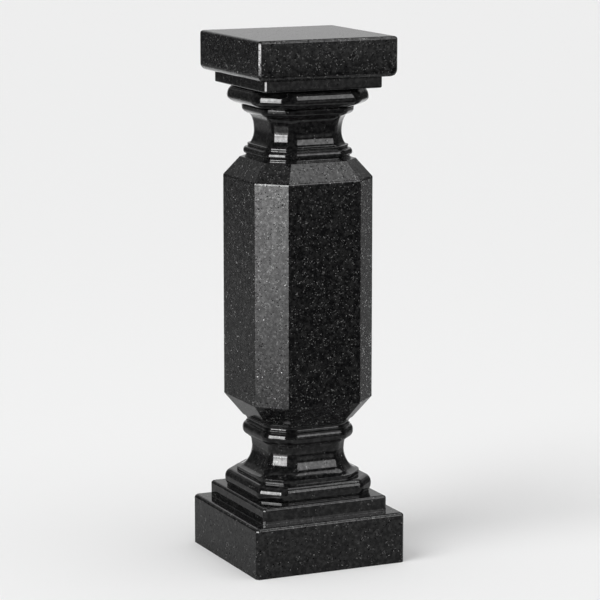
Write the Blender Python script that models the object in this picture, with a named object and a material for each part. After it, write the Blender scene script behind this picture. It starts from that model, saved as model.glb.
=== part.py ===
"""Stone baluster: one block, carved as a square plinth and abacus with a chamfered shaft and necks between them.

The body is a loft of level sections. Every section is a square with chamfered, rounded corners, and its half-width
follows an outline of straight runs and elliptical arcs, worked out from the ground up. Metres, +Z up, with the
origin at the centre of the underside and the plinth's sides square to X and Y.
"""

import math

import bmesh
import bpy

# Widths are across the flat sides of a section and heights are those of one band. A corner is what each side of a
# square loses to the narrow flat that cuts it, and an arris is the radius of a rounded upper edge.

# plinth and the square step on it
PLINTH_WIDTH = 0.2000
PLINTH_HEIGHT = 0.0633
PLINTH_CORNER = 0.0033
PLINTH_ARRIS = 0.0045
STEP_WIDTH = 0.1670
STEP_HEIGHT = 0.0199
STEP_CORNER = 0.0028
STEP_ARRIS = 0.0040

# foot: a thin fillet, the large torus and the flat band that it carries
FOOT_FILLET_WIDTH = 0.1510
FOOT_FILLET_HEIGHT = 0.0018
FOOT_TORUS_UNDERSIDE_WIDTH = 0.1480
FOOT_TORUS_WIDTH = 0.1550
FOOT_TORUS_HEIGHT = 0.0198
FOOT_TORUS_BULGE = 0.0099
FOOT_TORUS_TOP_WIDTH = 0.1400
FOOT_BAND_WIDTH = 0.1358
FOOT_BAND_HEIGHT = 0.0053
FOOT_BAND_ARRIS = 0.0006

# lower neck: a long hollow that sweeps in from the band and turns out again under the bead
LOWER_SWEEP_HEIGHT = 0.0282
LOWER_NECK_WIDTH = 0.1022
LOWER_RETURN_HEIGHT = 0.0116
LOWER_RETURN_WIDTH = 0.1065
LOWER_FILLET_WIDTH = 0.1108
LOWER_FILLET_HEIGHT = 0.0018
LOWER_BEAD_WIDTH = 0.1230
LOWER_BEAD_HEIGHT = 0.0156
LOWER_BEAD_BULGE = 0.0084
LOWER_BEAD_TOP_WIDTH = 0.1150
LOWER_COLLAR_WIDTH = 0.1158
LOWER_COLLAR_HEIGHT = 0.0084

# shaft: straight sides with wide chamfers, and a slope in to the necks at either end
SHAFT_WIDTH = 0.1586
SHAFT_CHAMFER = 0.0314
SHAFT_ARRIS = 0.0012
SHAFT_HEIGHT = 0.2756
LOWER_SLOPE_HEIGHT = 0.0272
LOWER_SLOPE_END_WIDTH = 0.1176
UPPER_SLOPE_HEIGHT = 0.0226
UPPER_SLOPE_END_WIDTH = 0.1228

# upper neck: collar, bead and fillet under a hollow that opens upwards into a rounded ring
UPPER_COLLAR_WIDTH = 0.1162
UPPER_COLLAR_HEIGHT = 0.0051
UPPER_BEAD_WIDTH = 0.1194
UPPER_BEAD_HEIGHT = 0.0074
UPPER_BEAD_BULGE = 0.0022
UPPER_BEAD_TOP_WIDTH = 0.1144
UPPER_FILLET_WIDTH = 0.1104
UPPER_FILLET_HEIGHT = 0.0046
UPPER_FILLET_ARRIS = 0.0006
UPPER_SWEEP_WIDTH = 0.1055
UPPER_SWEEP_HEIGHT = 0.0155
UPPER_NECK_WIDTH = 0.0960
UPPER_RETURN_HEIGHT = 0.0211
UPPER_RETURN_WIDTH = 0.1078
RING_WIDTH = 0.1226
RING_HEIGHT = 0.0105
RING_BULGE = 0.0070

# head: the wide torus, the square step on it and the abacus slab
HEAD_TORUS_UNDERSIDE_WIDTH = 0.1140
HEAD_TORUS_WIDTH = 0.1546
HEAD_TORUS_HEIGHT = 0.0247
HEAD_TORUS_BULGE = 0.0110
HEAD_TORUS_TOP_WIDTH = 0.1356
HEAD_STEP_WIDTH = 0.1555
HEAD_STEP_HEIGHT = 0.0140
HEAD_STEP_CORNER = 0.0024
ABACUS_WIDTH = 0.1834
ABACUS_HEIGHT = 0.0492
ABACUS_CORNER = 0.0030
ABACUS_LOWER_ROUNDING = 0.0087
ABACUS_ARRIS = 0.0040

# The carved bands keep one plan shape at every width: their chamfer and corner radius are shares of the half-width.
NECK_CHAMFER = 0.41
NECK_ROUNDING = 0.36
FOOT_CHAMFER = 0.32
FOOT_ROUNDING = 0.16

CORNER_STEPS = 3
ARC_STEPS = 6
ARRIS_STEPS = 3
HALF_CORNER = math.radians(22.5)


def square_plan(corner):
    """A square section whose corners are cut by a narrow flat with softened edges."""
    return lambda half: (corner, 0.45 * corner)


def shaft_plan(half):
    """The shaft's section, whose chamfer narrows with the slopes."""
    return SHAFT_CHAMFER * half / (SHAFT_WIDTH / 2), SHAFT_ARRIS


def neck_plan(half):
    return NECK_CHAMFER * half, NECK_ROUNDING * half


def foot_plan(half):
    return FOOT_CHAMFER * half, FOOT_ROUNDING * half


def section(half, plan):
    """Corners of one level section, anticlockwise: eight roundings of 45 degrees, each inside two of its sides."""
    leg, radius = plan(half)
    inset = radius / math.cos(HALF_CORNER)
    points = []
    for quarter in range(4):
        for start, corner_x, corner_y in ((0.0, half, half - leg), (45.0, half - leg, half)):
            middle = math.radians(start) + HALF_CORNER
            centre_x = corner_x - inset * math.cos(middle)
            centre_y = corner_y - inset * math.sin(middle)
            for step in range(CORNER_STEPS + 1):
                angle = math.radians(start + 45.0 * step / CORNER_STEPS)
                x = centre_x + radius * math.cos(angle)
                y = centre_y + radius * math.sin(angle)
                turn = math.radians(90.0 * quarter)
                points.append(
                    (x * math.cos(turn) - y * math.sin(turn), x * math.sin(turn) + y * math.cos(turn))
                )
    return points


def rising_arc(start, end, sweep=90.0, steps=ARC_STEPS):
    """Points after start on an elliptical arc that sets out straight up and turns towards end."""
    turns = [math.radians(sweep * step / steps) for step in range(1, steps + 1)]
    across = (end[0] - start[0]) / (1 - math.cos(math.radians(sweep)))
    up = (end[1] - start[1]) / math.sin(math.radians(sweep))
    return [(start[0] + across * (1 - math.cos(t)), start[1] + up * math.sin(t)) for t in turns]


def landing_arc(start, end, sweep=90.0, steps=ARC_STEPS):
    """Points after start on an elliptical arc that arrives at end straight up: the same arc, walked backwards."""
    return rising_arc(end, start, sweep, steps)[-2::-1] + [end]


class Outline:
    """The outline of the block from the ground up, as stations of half-width, height and plan."""

    def __init__(self, half, plan):
        self.plan = plan
        self.stations = [(half, 0.0, plan)]

    @property
    def here(self):
        return self.stations[-1][:2]

    def add(self, points):
        self.stations += [(half, height, self.plan) for half, height in points]

    def ledge(self, width, plan=None):
        """A level run out or in to another width, which may have another plan."""
        self.plan = plan or self.plan
        self.add([(width / 2, self.here[1])])

    def rise(self, height, width=None):
        """A straight run upwards, upright unless it ends at another width."""
        half = self.here[0] if width is None else width / 2
        self.add([(half, self.here[1] + height)])

    def rise_to_arris(self, height, arris):
        """An upright band whose upper edge is rounded."""
        self.rise(height - arris)
        half, level = self.here
        self.add(rising_arc((half, level), (half - arris, level + arris), steps=ARRIS_STEPS))

    def torus(self, underside_width, width, top_width, height, bulge, sweep=90.0):
        """A round moulding: out from its underside to its widest line, bulge above it, and back in to its top."""
        self.ledge(underside_width)
        start = self.here
        widest = (width / 2, start[1] + bulge)
        self.add(landing_arc(start, widest, sweep))
        self.add(rising_arc(widest, (top_width / 2, start[1] + height)))

    def hollow(self, sweep_height, neck_width, sweep, return_height, return_width, back_sweep):
        """A hollow: in to the neck along one arc, and out again along another."""
        start = self.here
        neck = (neck_width / 2, start[1] + sweep_height)
        self.add(landing_arc(start, neck, sweep))
        self.add(rising_arc(neck, (return_width / 2, neck[1] + return_height), back_sweep))


def base(outline):
    """Plinth and step, square and eased along their upper edges."""
    outline.rise_to_arris(PLINTH_HEIGHT, PLINTH_ARRIS)
    outline.ledge(STEP_WIDTH, square_plan(STEP_CORNER))
    outline.rise_to_arris(STEP_HEIGHT, STEP_ARRIS)


def foot(outline):
    """Fillet and large torus, which are squarer than the band above them."""
    outline.ledge(FOOT_FILLET_WIDTH, foot_plan)
    outline.rise(FOOT_FILLET_HEIGHT)
    outline.torus(
        FOOT_TORUS_UNDERSIDE_WIDTH,
        FOOT_TORUS_WIDTH,
        FOOT_TORUS_TOP_WIDTH,
        FOOT_TORUS_HEIGHT,
        FOOT_TORUS_BULGE,
    )
    outline.ledge(FOOT_BAND_WIDTH, neck_plan)
    outline.rise_to_arris(FOOT_BAND_HEIGHT, FOOT_BAND_ARRIS)


def lower_neck(outline):
    outline.hollow(
        LOWER_SWEEP_HEIGHT, LOWER_NECK_WIDTH, 88.0, LOWER_RETURN_HEIGHT, LOWER_RETURN_WIDTH, 60.0
    )
    outline.ledge(LOWER_FILLET_WIDTH)
    outline.rise(LOWER_FILLET_HEIGHT)
    outline.torus(
        LOWER_FILLET_WIDTH, LOWER_BEAD_WIDTH, LOWER_BEAD_TOP_WIDTH, LOWER_BEAD_HEIGHT, LOWER_BEAD_BULGE
    )
    outline.ledge(LOWER_COLLAR_WIDTH)
    outline.rise(LOWER_COLLAR_HEIGHT)


def shaft(outline):
    outline.ledge(LOWER_SLOPE_END_WIDTH, shaft_plan)
    outline.rise(LOWER_SLOPE_HEIGHT, SHAFT_WIDTH)
    outline.rise(SHAFT_HEIGHT)
    outline.rise(UPPER_SLOPE_HEIGHT, UPPER_SLOPE_END_WIDTH)


def upper_neck(outline):
    outline.ledge(UPPER_COLLAR_WIDTH, neck_plan)
    outline.rise(UPPER_COLLAR_HEIGHT)
    outline.torus(
        UPPER_COLLAR_WIDTH, UPPER_BEAD_WIDTH, UPPER_BEAD_TOP_WIDTH, UPPER_BEAD_HEIGHT, UPPER_BEAD_BULGE
    )
    outline.ledge(UPPER_FILLET_WIDTH)
    outline.rise_to_arris(UPPER_FILLET_HEIGHT, UPPER_FILLET_ARRIS)
    outline.ledge(UPPER_SWEEP_WIDTH)
    outline.hollow(
        UPPER_SWEEP_HEIGHT, UPPER_NECK_WIDTH, 60.0, UPPER_RETURN_HEIGHT, UPPER_RETURN_WIDTH, 80.0
    )
    start = outline.here
    outline.add(landing_arc(start, (RING_WIDTH / 2, start[1] + RING_BULGE), 55.0))
    outline.rise(RING_HEIGHT - RING_BULGE)


def head(outline):
    """Wide torus, square step and abacus, whose lower edge is well rounded."""
    outline.torus(
        HEAD_TORUS_UNDERSIDE_WIDTH,
        HEAD_TORUS_WIDTH,
        HEAD_TORUS_TOP_WIDTH,
        HEAD_TORUS_HEIGHT,
        HEAD_TORUS_BULGE,
        65.0,
    )
    outline.ledge(HEAD_STEP_WIDTH, square_plan(HEAD_STEP_CORNER))
    outline.rise(HEAD_STEP_HEIGHT)
    outline.ledge(ABACUS_WIDTH - 2 * ABACUS_LOWER_ROUNDING, square_plan(ABACUS_CORNER))
    half, level = outline.here
    lower_edge = (ABACUS_WIDTH / 2, level + ABACUS_LOWER_ROUNDING)
    outline.add(landing_arc((half, level), lower_edge))
    outline.rise_to_arris(ABACUS_HEIGHT - ABACUS_LOWER_ROUNDING, ABACUS_ARRIS)


def loft(stations):
    """One closed skin over the stations' sections, with a flat cap at either end."""
    mesh = bmesh.new()
    rings = []
    for half, height, plan in stations:
        rings.append([mesh.verts.new((x, y, height)) for x, y in section(half, plan)])
    for lower, upper in zip(rings, rings[1:]):
        for here in range(len(lower)):
            after = (here + 1) % len(lower)
            mesh.faces.new((lower[here], lower[after], upper[after], upper[here]))
    mesh.faces.new(rings[0][::-1])
    mesh.faces.new(rings[-1])
    bmesh.ops.remove_doubles(mesh, verts=mesh.verts, dist=0.00001)
    bmesh.ops.recalc_face_normals(mesh, faces=mesh.faces)
    return mesh


def polished_granite():
    """Black granite, ground and polished."""
    material = bpy.data.materials.new("polished_black_granite")
    material.use_nodes = True
    shader = material.node_tree.nodes["Principled BSDF"]
    shader.inputs["Base Color"].default_value = (0.018, 0.018, 0.020, 1.0)
    shader.inputs["Roughness"].default_value = 0.12
    shader.inputs["Metallic"].default_value = 0.0
    return material


def clear_scene():
    for thing in list(bpy.data.objects):
        bpy.data.objects.remove(thing)


def main():
    clear_scene()
    outline = Outline(PLINTH_WIDTH / 2, square_plan(PLINTH_CORNER))
    for band in (base, foot, lower_neck, shaft, upper_neck, head):
        band(outline)
    skin = loft(outline.stations)
    mesh = bpy.data.meshes.new("baluster")
    skin.to_mesh(mesh)
    skin.free()
    mesh.materials.append(polished_granite())
    mesh.shade_smooth()
    mesh.set_sharp_from_angle(angle=math.radians(30.0))
    group = bpy.data.collections.new("stone_baluster")
    bpy.context.scene.collection.children.link(group)
    group.objects.link(bpy.data.objects.new("baluster", mesh))


main()
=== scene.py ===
"""Looks of the stone baluster: a carved and polished block of black granite on a pale studio floor.

The stone is one grid of points. Its rows are level sections, whose half-width follows an outline
from the ground up, and its columns run round a square with chamfered, rounded corners. Lengths in
the outline are millimetres.
"""

import functools
import math

import bpy
import numpy as np
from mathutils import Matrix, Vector


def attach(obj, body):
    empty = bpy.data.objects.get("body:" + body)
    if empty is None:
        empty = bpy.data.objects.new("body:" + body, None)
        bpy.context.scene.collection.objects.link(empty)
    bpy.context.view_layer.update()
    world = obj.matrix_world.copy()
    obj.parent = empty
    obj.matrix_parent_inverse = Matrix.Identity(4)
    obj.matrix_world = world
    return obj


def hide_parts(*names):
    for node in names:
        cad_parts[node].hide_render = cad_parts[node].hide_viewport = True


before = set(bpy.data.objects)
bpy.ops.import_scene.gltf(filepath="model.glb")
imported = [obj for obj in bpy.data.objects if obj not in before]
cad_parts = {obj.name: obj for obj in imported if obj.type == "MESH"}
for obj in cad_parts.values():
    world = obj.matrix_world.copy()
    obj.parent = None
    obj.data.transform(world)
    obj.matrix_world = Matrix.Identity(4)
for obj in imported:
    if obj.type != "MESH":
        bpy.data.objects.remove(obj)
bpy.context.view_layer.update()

MM = 0.001

# Widths are across the flat sides of a section and heights are those of one band. A corner is what
# each side of a square loses to the narrow flat that cuts it, and an arris is the radius of an eased
# edge. A turn is the degrees that an arc turns through, from upright at its one end.
QUARTER_TURN = 90.0

# plinth and the square step on it
PLINTH_WIDTH, PLINTH_HEIGHT, PLINTH_CORNER, PLINTH_ARRIS = 200.0, 63.3, 3.3, 4.5
STEP_WIDTH, STEP_HEIGHT, STEP_CORNER, STEP_ARRIS = 167.0, 19.9, 2.8, 4.0

# foot: a thin fillet, the large torus and the flat band that it carries
FOOT_FILLET_WIDTH, FOOT_FILLET_HEIGHT = 151.0, 1.8
FOOT_TORUS_UNDERSIDE_WIDTH, FOOT_TORUS_WIDTH, FOOT_TORUS_TOP_WIDTH = 148.0, 155.0, 140.0
FOOT_TORUS_HEIGHT, FOOT_TORUS_BULGE = 19.8, 9.9
FOOT_BAND_WIDTH, FOOT_BAND_HEIGHT = 135.8, 5.3

# lower neck: a long hollow that sweeps in from the band and turns out again under the bead
LOWER_SWEEP_HEIGHT, LOWER_SWEEP_TURN, LOWER_NECK_WIDTH = 28.2, 88.0, 102.2
LOWER_RETURN_HEIGHT, LOWER_RETURN_TURN, LOWER_RETURN_WIDTH = 11.6, 60.0, 106.5
LOWER_FILLET_WIDTH, LOWER_FILLET_HEIGHT = 110.8, 1.8
LOWER_BEAD_WIDTH, LOWER_BEAD_HEIGHT, LOWER_BEAD_BULGE, LOWER_BEAD_TOP_WIDTH = 123.0, 15.6, 8.4, 115.0
LOWER_BEAD_REVEAL = 0.6  # how much wider the bead's underside is than what carries it
LOWER_COLLAR_WIDTH, LOWER_COLLAR_HEIGHT = 115.8, 8.4
COLLAR_LIP, COLLAR_COVE = 1.6, 1.3  # height of either lip, and depth of the cove between them
COVE_TURN = 60.0

# shaft: straight sides with wide chamfers, and a slope in to the necks at either end
SHAFT_WIDTH, SHAFT_CHAMFER, SHAFT_HEIGHT = 158.6, 31.4, 275.6
SHAFT_ARRIS, SHOULDER_ARRIS = 1.2, 4.5  # every edge but one, and the edge under the upper slope
LOWER_SLOPE_HEIGHT, LOWER_SLOPE_END_WIDTH = 27.2, 117.6
UPPER_SLOPE_HEIGHT, UPPER_SLOPE_END_WIDTH = 22.6, 122.8

# upper neck: collar, bead and fillet under a hollow that opens upwards into a rounded ring
UPPER_COLLAR_WIDTH, UPPER_COLLAR_HEIGHT = 116.2, 5.1
UPPER_COLLAR_LIP, UPPER_COLLAR_COVE = 1.4, 1.1
UPPER_BEAD_WIDTH, UPPER_BEAD_HEIGHT, UPPER_BEAD_BULGE, UPPER_BEAD_TOP_WIDTH = 119.4, 7.4, 2.2, 114.4
UPPER_BEAD_REVEAL = 0.8
UPPER_FILLET_WIDTH, UPPER_FILLET_HEIGHT = 110.4, 4.6
UPPER_FILLET_LIP, UPPER_FILLET_GROOVE, UPPER_FILLET_GROOVE_DEPTH = 1.4, 1.2, 0.7
UPPER_SWEEP_WIDTH, UPPER_SWEEP_HEIGHT, UPPER_SWEEP_TURN = 105.5, 15.5, 60.0
UPPER_NECK_WIDTH = 96.0
UPPER_RETURN_HEIGHT, UPPER_RETURN_TURN, UPPER_RETURN_WIDTH = 21.1, 80.0, 107.8
RING_WIDTH, RING_HEIGHT, RING_BULGE, RING_TURN, RING_FLARE = 122.6, 10.5, 7.0, 55.0, 0.15

# head: the wide torus, the square step on it and the abacus slab
HEAD_TORUS_UNDERSIDE_WIDTH, HEAD_TORUS_WIDTH, HEAD_TORUS_TOP_WIDTH = 114.0, 154.6, 135.6
HEAD_TORUS_HEIGHT, HEAD_TORUS_BULGE, HEAD_TORUS_TURN = 24.7, 11.0, 65.0
HEAD_STEP_WIDTH, HEAD_STEP_HEIGHT, HEAD_STEP_CORNER, HEAD_STEP_ARRIS = 155.5, 14.0, 2.4, 1.8
ABACUS_WIDTH, ABACUS_HEIGHT, ABACUS_CORNER, ABACUS_ARRIS = 183.4, 49.2, 3.0, 4.0
ABACUS_LOWER_ROUNDING = 8.7
TOP_RING_WIDTH = ABACUS_WIDTH / 3  # a ring of points inside the top face

# Levels above the ground at which the mouldings end.
SHAFT_FOOT = PLINTH_HEIGHT + sum((
    STEP_HEIGHT, FOOT_FILLET_HEIGHT, FOOT_TORUS_HEIGHT, FOOT_BAND_HEIGHT, LOWER_SWEEP_HEIGHT,
    LOWER_RETURN_HEIGHT, LOWER_FILLET_HEIGHT, LOWER_BEAD_HEIGHT, LOWER_COLLAR_HEIGHT,
))
SHAFT_TOP = SHAFT_FOOT + LOWER_SLOPE_HEIGHT + SHAFT_HEIGHT + UPPER_SLOPE_HEIGHT
ABACUS_FOOT = SHAFT_TOP + sum((
    UPPER_COLLAR_HEIGHT, UPPER_BEAD_HEIGHT, UPPER_FILLET_HEIGHT, UPPER_SWEEP_HEIGHT,
    UPPER_RETURN_HEIGHT, RING_HEIGHT, HEAD_TORUS_HEIGHT, HEAD_STEP_HEIGHT,
))

# The carved bands keep one plan at every width: chamfer and corner radius over the half-width.
NECK_CHAMFER, NECK_ROUNDING = 0.41, 0.36
FOOT_CHAMFER, FOOT_ROUNDING = 0.32, 0.16

# The cut corner of a square section: what it loses of a draw-in and what it keeps at least, as
# shares, then its rounding as a share of the cut, and the degrees by which its flat is bowed.
CORNER_LOSS, CORNER_LEAST, CORNER_ROUNDING, CORNER_BOW = 0.6, 0.4, 0.45, 4.0

FINE_EDGE = 0.7  # radius that the grinder leaves on the small edges of the mouldings
EASING_SHARE = 0.45  # most of a run that one easing may take up
EASING_STEP = 12.0  # degrees between rows round an eased edge
CURVE_STEP = 0.8  # distance between rows along a curved band
ARC_OVER_CHORD = 1.15  # roughly how much longer an arc is than its chord
LEAST_STEPS = 4  # rows of the shortest arc
CORNER_STEPS = 8  # faces across each of a section's eight roundings
HOLD = 0.5  # distance from a rounding to the point beside it that keeps the flat face flat
TINY = 1e-6  # stands in for the length of a chamfer that has closed to nothing
SHARP_ANGLE = 40.0  # degrees between two faces past which their edge isn't smoothed over
HALF_CORNER = math.radians(22.5)


# Plans of the level sections. Each takes half-widths and gives the chamfer's leg, the corner's
# radius and the angle by which the chamfer itself is bowed, which is nil where it is a flat face.


def square_plan(width, corner):
    """A square whose corners are cut by a narrow flat.

    The cut is the corner less a share of what the section has drawn in by, so that it narrows over
    an eased edge, and never under its least.
    """

    def plan(half):
        drawn_in = width / 2 - half
        cut = np.clip(corner - CORNER_LOSS * drawn_in, CORNER_LEAST * corner, corner)
        return cut, CORNER_ROUNDING * cut, np.full_like(half, math.radians(CORNER_BOW))

    return plan


def shaft_plan(half):
    """The shaft's chamfer shrinks with the width, and its arris stays as it is."""
    return SHAFT_CHAMFER * half / (SHAFT_WIDTH / 2), np.full_like(half, SHAFT_ARRIS), 0 * half


def neck_plan(half):
    """Chamfer and rounding are the neck's shares of the half-width."""
    return NECK_CHAMFER * half, NECK_ROUNDING * half, 0 * half


def foot_plan(half):
    """Chamfer and rounding are the foot's shares of the half-width."""
    return FOOT_CHAMFER * half, FOOT_ROUNDING * half, 0 * half


def arc(start, end, degrees, landing):
    """Points after start on an elliptical arc, which is upright at start or, landing, at end.

    From the upright end the run across grows as one minus the cosine of the turn, and the rise as
    its sine.
    """
    start, end = np.array(start), np.array(end)
    upright, other = (end, start) if landing else (start, end)
    length = np.linalg.norm(end - start) * ARC_OVER_CHORD
    steps = max(LEAST_STEPS, math.ceil(length / CURVE_STEP))
    turn = np.radians(degrees) * np.linspace(0.0, 1.0, steps + 1)
    across = (1 - np.cos(turn)) / (1 - math.cos(turn[-1]))
    rise = np.sin(turn) / math.sin(turn[-1])
    points = upright + (other - upright) * np.stack([across, rise], 1)
    return points[-2::-1] if landing else points[1:]


class Outline:
    """The block's outline from the ground up: rows of half-width, height, easing and plan number."""

    def __init__(self, width, plan):
        self.plans = [plan]
        self.rows = [(width / 2, 0.0, 0.0, 0)]

    @property
    def here(self):
        """Half-width and height of the last row."""
        return self.rows[-1][:2]

    def corner(self, half, height, ease):
        self.rows.append((half, height, ease, len(self.plans) - 1))

    def curve(self, end, turn, landing):
        """A curved band, which ends in a corner."""
        points = arc(self.here, end, turn, landing)
        self.rows += [(half, height, 0.0, len(self.plans) - 1) for half, height in points[:-1]]
        self.corner(*end, FINE_EDGE)

    def run_on(self):
        """Leaves the last row uneased, because the next band carries on from it smoothly."""
        self.rows[-1] = (*self.here, 0.0, self.rows[-1][3])

    def ledge(self, width, plan=None, ease=FINE_EDGE):
        """A level run out or in to another width, which may have another plan."""
        if plan:
            self.plans.append(plan)
        self.corner(width / 2, self.here[1], ease)

    def rise(self, height, width=None, ease=FINE_EDGE):
        """A straight run upwards, upright unless it ends at another width."""
        half = self.here[0] if width is None else width / 2
        self.corner(half, self.here[1] + height, ease)

    def torus(self, underside_width, width, top_width, height, bulge, turn=QUARTER_TURN):
        """A round moulding: out from its underside to its widest line, bulge above it, and back in."""
        self.ledge(underside_width)
        level = self.here[1]
        self.curve((width / 2, level + bulge), turn, landing=True)
        self.run_on()
        self.curve((top_width / 2, level + height), QUARTER_TURN, landing=False)

    def hollow(self, sweep_height, neck_width, turn, return_height, return_width, return_turn):
        """A hollow: in to the neck along one arc, and out again along another."""
        neck = (neck_width / 2, self.here[1] + sweep_height)
        self.curve(neck, turn, landing=True)
        self.run_on()
        self.curve((return_width / 2, neck[1] + return_height), return_turn, landing=False)

    def cove(self, half_height, depth):
        """A small hollow that comes back out to the width it started from."""
        width = 2 * self.here[0]
        self.hollow(half_height, width - 2 * depth, COVE_TURN, half_height, width, COVE_TURN)


def base(outline):
    """The plinth and the square step on it, upright with eased upper edges."""
    outline.rise(PLINTH_HEIGHT, ease=PLINTH_ARRIS)
    outline.ledge(STEP_WIDTH, square_plan(STEP_WIDTH, STEP_CORNER))
    outline.rise(STEP_HEIGHT, ease=STEP_ARRIS)


def foot(outline):
    """A thin fillet, the large torus and a flat band."""
    outline.ledge(FOOT_FILLET_WIDTH, foot_plan, ease=0.0)
    outline.rise(FOOT_FILLET_HEIGHT, ease=FINE_EDGE / 2)
    outline.torus(
        FOOT_TORUS_UNDERSIDE_WIDTH,
        FOOT_TORUS_WIDTH,
        FOOT_TORUS_TOP_WIDTH,
        FOOT_TORUS_HEIGHT,
        FOOT_TORUS_BULGE,
    )
    outline.ledge(FOOT_BAND_WIDTH, neck_plan)
    outline.rise(FOOT_BAND_HEIGHT)


def lower_neck(outline):
    """The long hollow, a fillet, the bead, and the collar with a cove between its two lips."""
    outline.hollow(
        LOWER_SWEEP_HEIGHT,
        LOWER_NECK_WIDTH,
        LOWER_SWEEP_TURN,
        LOWER_RETURN_HEIGHT,
        LOWER_RETURN_WIDTH,
        LOWER_RETURN_TURN,
    )
    outline.ledge(LOWER_FILLET_WIDTH)
    outline.rise(LOWER_FILLET_HEIGHT)
    outline.torus(
        LOWER_FILLET_WIDTH + LOWER_BEAD_REVEAL,
        LOWER_BEAD_WIDTH,
        LOWER_BEAD_TOP_WIDTH,
        LOWER_BEAD_HEIGHT,
        LOWER_BEAD_BULGE,
    )
    outline.ledge(LOWER_COLLAR_WIDTH)
    outline.rise(COLLAR_LIP)
    outline.cove(LOWER_COLLAR_HEIGHT / 2 - COLLAR_LIP, COLLAR_COVE)
    outline.rise(COLLAR_LIP)


def shaft(outline):
    """Straight chamfered sides between two slopes."""
    outline.ledge(LOWER_SLOPE_END_WIDTH, shaft_plan)
    outline.rise(LOWER_SLOPE_HEIGHT, SHAFT_WIDTH, ease=SHAFT_ARRIS)
    outline.rise(SHAFT_HEIGHT, ease=SHOULDER_ARRIS)
    outline.rise(UPPER_SLOPE_HEIGHT, UPPER_SLOPE_END_WIDTH)


def upper_neck(outline):
    """Collar, bead and grooved fillet, and the hollow over them that opens into a rounded ring."""
    outline.ledge(UPPER_COLLAR_WIDTH, neck_plan)
    outline.rise(UPPER_COLLAR_LIP)
    outline.cove((UPPER_COLLAR_HEIGHT - UPPER_COLLAR_LIP) / 2, UPPER_COLLAR_COVE)
    outline.torus(
        UPPER_COLLAR_WIDTH + UPPER_BEAD_REVEAL,
        UPPER_BEAD_WIDTH,
        UPPER_BEAD_TOP_WIDTH,
        UPPER_BEAD_HEIGHT,
        UPPER_BEAD_BULGE,
    )
    outline.ledge(UPPER_FILLET_WIDTH)
    outline.rise(UPPER_FILLET_LIP)
    outline.cove(UPPER_FILLET_GROOVE / 2, UPPER_FILLET_GROOVE_DEPTH)
    outline.rise(UPPER_FILLET_HEIGHT - UPPER_FILLET_LIP - UPPER_FILLET_GROOVE)
    outline.ledge(UPPER_SWEEP_WIDTH)
    outline.hollow(
        UPPER_SWEEP_HEIGHT,
        UPPER_NECK_WIDTH,
        UPPER_SWEEP_TURN,
        UPPER_RETURN_HEIGHT,
        UPPER_RETURN_WIDTH,
        UPPER_RETURN_TURN,
    )
    ring = (RING_WIDTH / 2 - RING_FLARE, outline.here[1] + RING_BULGE)
    outline.curve(ring, RING_TURN, landing=True)
    outline.run_on()
    outline.rise(RING_HEIGHT - RING_BULGE, RING_WIDTH)


def head(outline):
    """The wide torus, the square step, and the abacus slab, rounded below and eased above."""
    outline.torus(
        HEAD_TORUS_UNDERSIDE_WIDTH,
        HEAD_TORUS_WIDTH,
        HEAD_TORUS_TOP_WIDTH,
        HEAD_TORUS_HEIGHT,
        HEAD_TORUS_BULGE,
        HEAD_TORUS_TURN,
    )
    step = square_plan(HEAD_STEP_WIDTH, HEAD_STEP_CORNER)
    outline.ledge(HEAD_STEP_WIDTH, step, ease=HEAD_STEP_ARRIS)
    outline.rise(HEAD_STEP_HEIGHT)
    abacus = square_plan(ABACUS_WIDTH, ABACUS_CORNER)
    outline.ledge(ABACUS_WIDTH - 2 * ABACUS_LOWER_ROUNDING, abacus)
    rounded = (ABACUS_WIDTH / 2, outline.here[1] + ABACUS_LOWER_ROUNDING)
    outline.curve(rounded, QUARTER_TURN, landing=True)
    outline.run_on()
    outline.rise(ABACUS_HEIGHT - ABACUS_LOWER_ROUNDING, ease=ABACUS_ARRIS)
    outline.ledge(TOP_RING_WIDTH, ease=0.0)


def eased(rows):
    """The outline with each corner rounded: an arc between two points equally far before and after.

    That distance is the easing radius over the tangent of half the angle between the two runs, held
    to under half of either run. A point of the arc mixes its first and last radius, by the sines of
    what is left and what is done of the turn. A straight run also gets a point close to each of its
    ends, which keeps its shading flat.
    """
    made = []
    for before, row, after in zip([rows[0]] + rows[:-1], rows, rows[1:] + [rows[-1]]):
        point = np.array(row[:2])
        back, ahead = np.array(before[:2]) - point, np.array(after[:2]) - point
        lengths = [np.linalg.norm(back), np.linalg.norm(ahead)]
        if row[2] == 0.0 or min(lengths) == 0.0:
            made.append((*point, row[3]))
            continue
        back, ahead = back / lengths[0], ahead / lengths[1]
        half_angle = math.acos(np.clip(back @ ahead, -1.0, 1.0)) / 2
        room_back, room_ahead = EASING_SHARE * lengths[0], EASING_SHARE * lengths[1]
        leg = min(row[2] / math.tan(half_angle), room_back, room_ahead)
        turn = math.pi - 2 * half_angle
        steps = max(2, math.ceil(math.degrees(turn) / EASING_STEP))
        done = turn * np.linspace(0.0, 1.0, steps + 1)
        centre = point + (back + ahead) * leg / (1 + back @ ahead)
        first = point + back * leg - centre
        last = point + ahead * leg - centre
        mix = first * np.sin(turn - done)[:, None] + last * np.sin(done)[:, None]
        if room_back > leg + HOLD:
            made.append((*(point + back * (leg + HOLD)), row[3]))
        made += [(*p, row[3]) for p in centre + mix / math.sin(turn)]
        if room_ahead > leg + HOLD:
            made.append((*(point + ahead * (leg + HOLD)), row[3]))
    return np.array(made)


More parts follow.
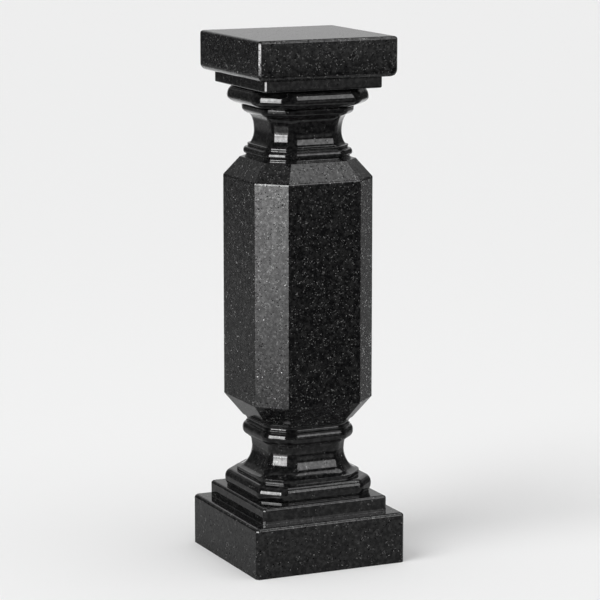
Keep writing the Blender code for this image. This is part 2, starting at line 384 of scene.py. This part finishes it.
def quarter(half, leg, radius, bow):
    """A quarter of each section, from the middle of the +X side to just before that of the +Y side.

    A point is the corner of an inner square with chamfered corners, plus the radius in the direction
    of its own turn, which is nil along the +X side, half a right angle along the chamfer and a right
    angle along the +Y side.
    """
    reach, start = half - radius, half - leg - radius * math.tan(HALF_CORNER)
    chamfer = (reach - start) * math.sqrt(2)
    held = np.minimum(HOLD, chamfer / 4) / np.maximum(chamfer, TINY)
    arc_share = np.linspace(0.0, 1.0, CORNER_STEPS + 1)[None, :]
    first_turn = (math.pi / 4 - bow)[:, None] * arc_share
    flat_turn = math.pi / 4 + bow[:, None] * np.array([[-0.5, 0.0, 0.5]])
    flat_share = np.stack([held, np.full_like(half, 0.5), 1 - held], 1)
    last_turn = math.pi / 2 - first_turn[:, ::-1]
    nothing, all_of_it = np.zeros_like(first_turn), np.ones_like(first_turn)
    column = np.zeros((len(half), 1))
    turn = np.concatenate([column, column, first_turn, flat_turn, last_turn, column + math.pi / 2], 1)
    along = np.concatenate([column, column, nothing, flat_share, all_of_it, column + 1], 1)
    x = reach[:, None] + (start - reach)[:, None] * along
    y = start[:, None] + (reach - start)[:, None] * along
    y[:, 0] = 0.0
    y[:, 1] -= HOLD
    x[:, -1] -= HOLD
    return x + radius[:, None] * np.cos(turn), y + radius[:, None] * np.sin(turn)


def block_points(outline):
    """Rows of points round the block: one quarter of a section, turned four times about the axis."""
    half, height, number = eased(outline.rows).T
    leg, radius, bow = np.empty((3, len(half)))
    for index, plan in enumerate(outline.plans):
        here = number == index
        leg[here], radius[here], bow[here] = plan(half[here])
    x, y = quarter(half, leg, radius, bow)
    ring_x = np.concatenate([x, -y, -x, y], 1)
    ring_y = np.concatenate([y, x, -y, -x], 1)
    return np.stack([ring_x, ring_y, np.broadcast_to(height[:, None], ring_x.shape)], 2)


def place(name, data):
    """Puts a new object of this data in the scene, at the origin."""
    thing = bpy.data.objects.new(name, data)
    bpy.context.scene.collection.objects.link(thing)
    return thing


def skin(name, rows):
    """A closed mesh over a grid of points whose rows are rings.

    Its sides are four-sided faces between one ring and the next, and a fan of triangles round a pole
    closes each end.
    """
    count, around = rows.shape[:2]
    index = np.arange(count * around).reshape(count, around)
    after = np.roll(index, -1, 1)
    sides = np.stack([index[:-1], after[:-1], after[1:], index[1:]], 2).reshape(-1, 4)
    pole = np.full(around, count * around)
    foot_fan = np.stack([pole, after[0], index[0]], 1)
    top_fan = np.stack([pole + 1, index[-1], after[-1]], 1)
    poles = [(0.0, 0.0, rows[0, 0, 2]), (0.0, 0.0, rows[-1, 0, 2])]
    points = np.concatenate([rows.reshape(-1, 3), poles]) * MM
    mesh = bpy.data.meshes.new(name)
    faces = sides.tolist() + foot_fan.tolist() + top_fan.tolist()
    mesh.from_pydata(points.tolist(), [], faces)
    mesh.validate()
    mesh.shade_smooth()
    mesh.set_sharp_from_angle(angle=math.radians(SHARP_ANGLE))
    return place(name, mesh)


def carve_baluster():
    """The whole block as one surface, band by band from the ground up."""
    outline = Outline(PLINTH_WIDTH, square_plan(PLINTH_WIDTH, PLINTH_CORNER))
    for band in (base, foot, lower_neck, shaft, upper_neck, head):
        band(outline)
    baluster = skin("baluster_stone", block_points(outline))
    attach(baluster, "root")
    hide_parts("baluster")
    return baluster


# The camera is fitted to the photograph: a long lens, looking a little down at the corner between
# two sides. Its distance and sidestep are metres from the block's axis, back and to its own right.
CAMERA_YAW = math.radians(24.7)
CAMERA_PITCH = math.radians(10.2564)
CAMERA_DISTANCE = 3.417218
CAMERA_SIDESTEP = 0.002899
CAMERA_HEIGHT = 0.940507
FOCAL_PIXELS, PICTURE_PIXELS = 2800.0, 600.0
SENSOR_WIDTH = 36.0
FAR_CLIP = 200.0

# level directions to the camera's right and ahead of it
RIGHT = np.array([math.cos(CAMERA_YAW), -math.sin(CAMERA_YAW), 0.0])
AHEAD = np.array([math.sin(CAMERA_YAW), math.cos(CAMERA_YAW), 0.0])
UP = np.array([0.0, 0.0, 1.0])


def camera():
    """Stands at its distance and sidestep from the block's axis, turned by its yaw and pitch."""
    data = bpy.data.cameras.new("camera")
    data.sensor_width = SENSOR_WIDTH
    data.lens = SENSOR_WIDTH * FOCAL_PIXELS / PICTURE_PIXELS
    data.clip_end = FAR_CLIP
    thing = place("camera", data)
    thing.location = RIGHT * CAMERA_SIDESTEP - AHEAD * CAMERA_DISTANCE + UP * CAMERA_HEIGHT
    thing.rotation_euler = (math.pi / 2 - CAMERA_PITCH, 0.0, -CAMERA_YAW)
    bpy.context.scene.camera = thing


def linear(hex_colour):
    """The linear colour of an sRGB hex value."""
    channels = np.array([int(hex_colour[i : i + 2], 16) for i in (1, 3, 5)]) / 255
    curved = ((channels + 0.055) / 1.055) ** 2.4
    return (*np.where(channels <= 0.04045, channels / 12.92, curved), 1.0)


def add(tree, kind, *values, **named):
    """Adds a node and gives it back.

    Kind is the node's type and, after a space, its operation. Values go to the sockets in use, in
    their order. A named value in small letters is one of the node's own properties, and any other
    goes to the socket of that name. A value that is a node links by its first output in use.
    """
    kind, _, operation = kind.partition(" ")
    node = tree.nodes.new("ShaderNode" + kind)
    if operation:
        node.operation = operation
    for name in [name for name in named if name.islower()]:
        setattr(node, name, named.pop(name))
    pairs = list(zip([socket for socket in node.inputs if socket.enabled], values))
    pairs += [(node.inputs[name.replace("_", " ")], value) for name, value in named.items()]
    for socket, value in pairs:
        if isinstance(value, bpy.types.Node):
            value = next(output for output in value.outputs if output.enabled)
        if isinstance(value, bpy.types.NodeSocket):
            tree.links.new(value, socket)
        else:
            socket.default_value = value
    return node


def bare_tree(owner):
    """The node tree of a material or a world, with nothing in it yet."""
    owner.use_nodes = True
    owner.node_tree.nodes.clear()
    return owner.node_tree


# Sizes of the stone's grains in millimetres. The finest are drawn as coarse as they need to be to
# show, because a pixel of the picture is a little over a millimetre of stone.
FLECK_SIZE, SPARK_SIZE, PIT_SIZE, CLUSTER_SIZE, CLOUD_SIZE = 1.7, 1.1, 1.3, 10.0, 4.5
RAGGED_SIZE, RAGGED_PUSH = 1.6, 1.6  # of the noise that roughens a grain's outline, and its push
RIPPLE_SIZE, RIPPLE_DEPTH = 0.9, 0.004  # of the polish's faint unevenness, over a pit's depth
PIT_DEPTH, PIT_RELIEF = 0.02, 0.25  # in millimetres, and how much of it the bump lets show
FIELD_DETAIL, RIPPLE_DETAIL, FIELD_ROUGHNESS = 3.0, 2.0, 0.6

# Levels of the random field between which a cluster or a cloud comes in.
CLUSTER_EDGE, CLOUD_EDGE = (0.45, 0.62), (0.42, 0.66)

# When a grain shows, by its random number: what a cluster adds to that number, what a wholly closed
# grain takes from it, and the two values between which the grain comes in.
FLECKS_SHOW = (0.12, 0.09, 0.975, 0.985)
SPARKS_SHOW = (0.05, 0.035, 0.985, 0.995)
PITS_SHOW = (0.06, 0.06, 0.95, 0.97)

# Levels between which polishing has closed the grain, and by what share: the plinth, from well below
# the ground, then the lower and the upper mouldings. It fades over a short distance at each level.
BELOW_GROUND = -10.0
CLOSED_GRAIN = (
    (BELOW_GROUND, PLINTH_HEIGHT, 0.5),
    (PLINTH_HEIGHT, SHAFT_FOOT, 1.0),
    (SHAFT_TOP, ABACUS_FOOT, 1.0),
)
CLOSED_FADE = 1.0

# Darkest and palest tone of each part of the stone.
GROUND_TONES = ("#0a0a0b", "#252525")
FLECK_TONES = ("#212121", "#424242")
SPARK_TONES = ("#404040", "#7c7c7b")
PIT_TONE = "#050506"

# Roughness and strength of the mirror, from the dark of the ground to its palest clouds, then what
# hard grains add to that strength and what worn ones take from it.
POLISH, GROUND_MIRROR = (0.06, 0.085), (0.40, 0.60)
HARD_MIRROR, WORN_MIRROR = 0.40, 0.38
SPARK_TILT = 0.30  # side of the cube of offsets that turn a spark's own plane aside
MIDDLE = (0.5, 0.5, 0.5)  # mean of a random colour
STONE_IOR = 1.55


def polished_black_granite():
    """Black gabbro, sawn, ground and polished: a dark glassy ground with grey feldspar grains in it.

    The polish gives sharp, colourless reflections everywhere. The grey grains show as small flecks
    and sparks in loose clusters, pale where light falls on them, and mirror more than the ground
    does because they are harder. A spark also mirrors a little aside. Soft dark grains are worn to
    pits a hair deep, which mirror less. Clouds in the ground vary its tone, gloss and mirror a
    little. The mouldings are buffed longest, so fewest grains show there, and the plinth shows fewer
    than the shaft.
    """
    material = bpy.data.materials.new("polished_black_granite")
    tree = bare_tree(material)
    node = functools.partial(add, tree)
    spot = node("TexCoord").outputs["Object"]
    level = node("SeparateXYZ", spot).outputs["Z"]

    def patches(size, low, high):
        """Patches of about this size: nil where a random field is under low, one where over high."""
        field = node("TexNoise", spot, 1 / (size * MM), FIELD_DETAIL, FIELD_ROUGHNESS)
        return node("MapRange", field, low, high)

    cluster, cloud = patches(CLUSTER_SIZE, *CLUSTER_EDGE), patches(CLOUD_SIZE, *CLOUD_EDGE)

    # Grains have ragged outlines: the spot is pushed about by noise before it is cut into cells.
    push = node("TexNoise", spot, 1 / (RAGGED_SIZE * MM), FIELD_DETAIL, FIELD_ROUGHNESS)
    reach = (RAGGED_PUSH * MM,) * 3
    ragged = node("VectorMath MULTIPLY_ADD", push.outputs["Color"], reach, spot)

    def grains(size):
        """A random colour for each grain of about this size, whole and as three random numbers."""
        colour = node("TexVoronoi", ragged, 1 / (size * MM)).outputs["Color"]
        return colour, node("SeparateColor", colour).outputs

    def between(low, high):
        """One between two levels in millimetres, nil outside them."""
        off = node("Math ABSOLUTE", node("Math SUBTRACT", level, (low + high) / 2 * MM))
        half = (high - low) / 2
        return node("MapRange", off, (half + CLOSED_FADE) * MM, (half - CLOSED_FADE) * MM)

    closed = 0.0
    for low, high, share in CLOSED_GRAIN:
        closed = node("Math ADD", closed, node("Math MULTIPLY", between(low, high), share))

    def present(number, from_cluster, from_polish, low, high):
        """Whether a grain shows: sooner inside a cluster, later where the grain is closed."""
        number = node("Math ADD", number, node("Math MULTIPLY", cluster, from_cluster))
        number = node("Math SUBTRACT", number, node("Math MULTIPLY", closed, from_polish))
        return node("MapRange", number, low, high)

    fleck, pit = grains(FLECK_SIZE)[1], grains(PIT_SIZE)[1]
    spark_facing, spark = grains(SPARK_SIZE)
    fleck_here = present(fleck[0], *FLECKS_SHOW)
    spark_here = present(spark[0], *SPARKS_SHOW)
    pit_here = present(pit[1], *PITS_SHOW)

    ground = node("Mix", cloud, *map(linear, GROUND_TONES), data_type="RGBA")
    grey = node("Mix", fleck[1], *map(linear, FLECK_TONES), data_type="RGBA")
    bright = node("Mix", spark[1], *map(linear, SPARK_TONES), data_type="RGBA")
    colour = node("Mix", fleck_here, ground, grey, data_type="RGBA")
    colour = node("Mix", spark_here, colour, bright, data_type="RGBA")
    colour = node("Mix", pit_here, colour, linear(PIT_TONE), data_type="RGBA")

    roughness = node("MapRange", cloud, 0.0, 1.0, *POLISH)
    hard = node("Math MULTIPLY", node("Math MAXIMUM", spark_here, fleck_here), HARD_MIRROR)
    worn = node("Math MULTIPLY", pit_here, WORN_MIRROR)
    even = node("MapRange", cloud, 0.0, 1.0, *GROUND_MIRROR)
    mirror = node("Math ADD", even, node("Math SUBTRACT", hard, worn))

    ripple = node("TexNoise", spot, 1 / (RIPPLE_SIZE * MM), RIPPLE_DETAIL, FIELD_ROUGHNESS)
    height = node("Math SUBTRACT", node("Math MULTIPLY", ripple, RIPPLE_DEPTH), pit_here)
    bump = node("Bump", Strength=PIT_RELIEF, Distance=PIT_DEPTH * MM, Height=height)
    # A spark splits along its own plane, so its mirror finds light or dark a little aside.
    aside = node("VectorMath SUBTRACT", spark_facing, MIDDLE)
    aside = node("VectorMath SCALE", aside, node("Math MULTIPLY", spark_here, SPARK_TILT))
    normal = node("VectorMath NORMALIZE", node("VectorMath ADD", bump, aside))

    shader = node(
        "BsdfPrincipled",
        Base_Color=colour,
        Roughness=roughness,
        IOR=STONE_IOR,
        Specular_IOR_Level=mirror,
        Normal=normal,
    )
    node("OutputMaterial", shader)
    return material


# Tones of the floor: as it is seen, and as the stone's polish mirrors it.
FLOOR_TONE, MIRRORED_FLOOR_TONE = "#efefef", "#989898"
FLOOR_ROUGHNESS = 0.9


def pale_card():
    """Matte white card of a studio floor, rolled smooth. The stone mirrors it darker than it is."""
    material = bpy.data.materials.new("pale_card")
    tree = bare_tree(material)
    mirrored = add(tree, "LightPath").outputs["Is Glossy Ray"]
    tones = linear(FLOOR_TONE), linear(MIRRORED_FLOOR_TONE)
    tone = add(tree, "Mix", mirrored, *tones, data_type="RGBA")
    shader = add(
        tree, "BsdfPrincipled", Base_Color=tone, Roughness=FLOOR_ROUGHNESS, Specular_IOR_Level=0.0
    )
    add(tree, "OutputMaterial", shader)
    return material


# Metres from the block: the part of the floor that its polish mirrors, and the whole of it, which
# fills the picture.
NEAR_FLOOR, FAR_FLOOR = 0.6, 60.0
FLOOR_SIDES = 64


def studio_floor():
    """A plain pale floor: a disc under the block, and a wide ring that the block doesn't mirror."""
    card = pale_card()
    turns = np.linspace(0.0, 2 * math.pi, FLOOR_SIDES, endpoint=False)
    circle = np.stack([np.cos(turns), np.sin(turns), 0 * turns], 1)
    near, far = (circle * NEAR_FLOOR).tolist(), (circle * FAR_FLOOR).tolist()
    disc = [tuple(range(FLOOR_SIDES))]
    index = np.arange(FLOOR_SIDES)
    after = np.roll(index, -1)
    ring = np.stack([index, index + FLOOR_SIDES, after + FLOOR_SIDES, after], 1).tolist()
    for name, points, faces in (("near_floor", near, disc), ("far_floor", near + far, ring)):
        mesh = bpy.data.meshes.new(name)
        mesh.from_pydata(points, [], faces)
        mesh.materials.append(card)
        floor = place(name, mesh)
        floor.visible_glossy = name == "near_floor"


# The studio round the block, as soft-edged cards of light. A card has the azimuths of its two sides,
# from the camera's direction and clockwise as the camera sees them, the elevations of its lower and
# upper edge, the width of its soft edge, all in degrees, and its brightness, where a white surface in
# full light has 1.
CARDS = {
    "key softbox": (-61.0, -38.0, -6.5, 26.0, 3.0, 7.0),
    "key centre": (-61.0, -38.0, 3.0, 24.0, 8.0, 5.0),
    "key's bright lower edge": (-61.0, -38.0, -7.0, -4.0, 2.0, 5.5),
    "key's low card": (-62.0, -36.0, -10.8, -2.0, 6.0, 3.0),
    "key's foot": (-66.0, -32.0, -30.0, -8.0, 8.0, 0.6),
    "right softbox": (42.0, 76.0, 11.0, 38.0, 2.5, 2.7),
    "upper right softbox": (66.0, 130.0, 46.0, 72.0, 5.0, 1.8),
    "low right card": (35.0, 66.0, -7.0, 3.0, 4.0, 0.30),
    "left wall": (-165.0, -95.0, -34.0, -8.0, 7.0, 0.17),
    "back wall": (152.0, 208.0, -4.0, 35.0, 8.0, 0.46),
    "sides of the back wall": (134.0, 226.0, 14.0, 34.0, 10.0, 0.14),
    "foot of the back wall": (144.0, 216.0, -25.0, -3.0, 8.0, 0.95),
    "ceiling": (-180.0, 180.0, 60.0, 120.0, 12.0, 0.25),
    "low right back wall": (100.0, 160.0, -30.0, -6.5, 6.0, 0.13),
}
STUDIO_DIMNESS = 0.06  # between the cards
BACKDROP, SKY = 0.87, 0.47  # what the camera sees, and what lights everything evenly
WHITE = (1.0, 1.0, 1.0, 1.0)


def studio_light():
    """The world: a card adds its brightness times how far a direction is inside it each way."""
    world = bpy.data.worlds.new("studio")
    bpy.context.scene.world = world
    node = functools.partial(add, bare_tree(world))
    # The direction is turned so that the camera stands at -Y.
    direction = node("TexCoord").outputs["Generated"]
    turned = node("VectorRotate", Vector=direction, Angle=CAMERA_YAW, rotation_type="Z_AXIS")
    parts = node("SeparateXYZ", turned).outputs
    toward = node("Math MULTIPLY", parts["Y"], -1.0)
    azimuth = node("Math DEGREES", node("Math ARCTAN2", parts["X"], toward))
    elevation = node("Math DEGREES", node("Math ARCSINE", parts["Z"]))

    def inside(distance, half, soft):
        """One up to half a card's width from its middle, falling smoothly to nil over its edge."""
        edge = half + soft / 2, half - soft / 2
        return node("MapRange", distance, *edge, interpolation_type="SMOOTHSTEP")

    light = STUDIO_DIMNESS
    for left, right, low, high, soft, brightness in CARDS.values():
        off_axis = node("Math SUBTRACT", azimuth, (left + right) / 2)
        off_axis = node("Math ABSOLUTE", node("Math WRAP", off_axis, 180.0, -180.0))
        off_level = node("Math ABSOLUTE", node("Math SUBTRACT", elevation, (low + high) / 2))
        sideways = inside(off_axis, (right - left) / 2, soft)
        upright = inside(off_level, (high - low) / 2, soft)
        here = node("Math MULTIPLY", sideways, upright)
        light = node("Math MULTIPLY_ADD", here, brightness, light)
    # The polish mirrors the cards, the camera sees the backdrop, and the sky lights everything.
    path = node("LightPath").outputs
    strength = node("Mix", path["Is Glossy Ray"], SKY, light, data_type="FLOAT")
    strength = node("Mix", path["Is Camera Ray"], strength, BACKDROP, data_type="FLOAT")
    node("OutputWorld", node("Background", WHITE, strength))


# Far, diffused banks that light the floor and the grain of the stone: azimuth and elevation as the
# cards', width in degrees, and strength.
BANKS = {"overhead bank": (-50.0, 46.0, 34.0, 1.2), "ceiling bank": (60.0, 75.0, 60.0, 0.8)}

# The weak light straight above: its place and width in metres, and its power.
POOL_PLACE, POOL_WIDTH, POOL_POWER = (-0.3, -0.3, 2.3), 2.0, 3.5


def hide_lamp(lamp):
    """Keeps a lamp out of the picture and out of the stone's polish."""
    lamp.visible_camera = lamp.visible_glossy = False


def bank(name, azimuth, elevation, width, strength):
    """One far lamp, which shines from its azimuth and elevation towards the block."""
    data = bpy.data.lights.new(name, "SUN")
    data.angle, data.energy = math.radians(width), strength
    turn, rise = math.radians(azimuth), math.radians(elevation)
    level = RIGHT * math.sin(turn) - AHEAD * math.cos(turn)
    lamp = place(name, data)
    out = Vector(level * math.cos(rise) + UP * math.sin(rise))
    lamp.rotation_euler = out.to_track_quat("Z", "Y").to_euler()
    hide_lamp(lamp)


def pool_of_light():
    """A weak soft light that makes up for what the block keeps from the floor near it."""
    data = bpy.data.lights.new("pool_of_light", "AREA")
    data.shape, data.size, data.energy = "DISK", POOL_WIDTH, POOL_POWER
    lamp = place("pool_of_light", data)
    lamp.location = POOL_PLACE
    hide_lamp(lamp)


def main():
    baluster = carve_baluster()
    baluster.data.materials.append(polished_black_granite())
    camera()
    studio_floor()
    studio_light()
    for name, settings in BANKS.items():
        bank(name, *settings)
    pool_of_light()
    bpy.context.scene.view_settings.view_transform = "Standard"


main()
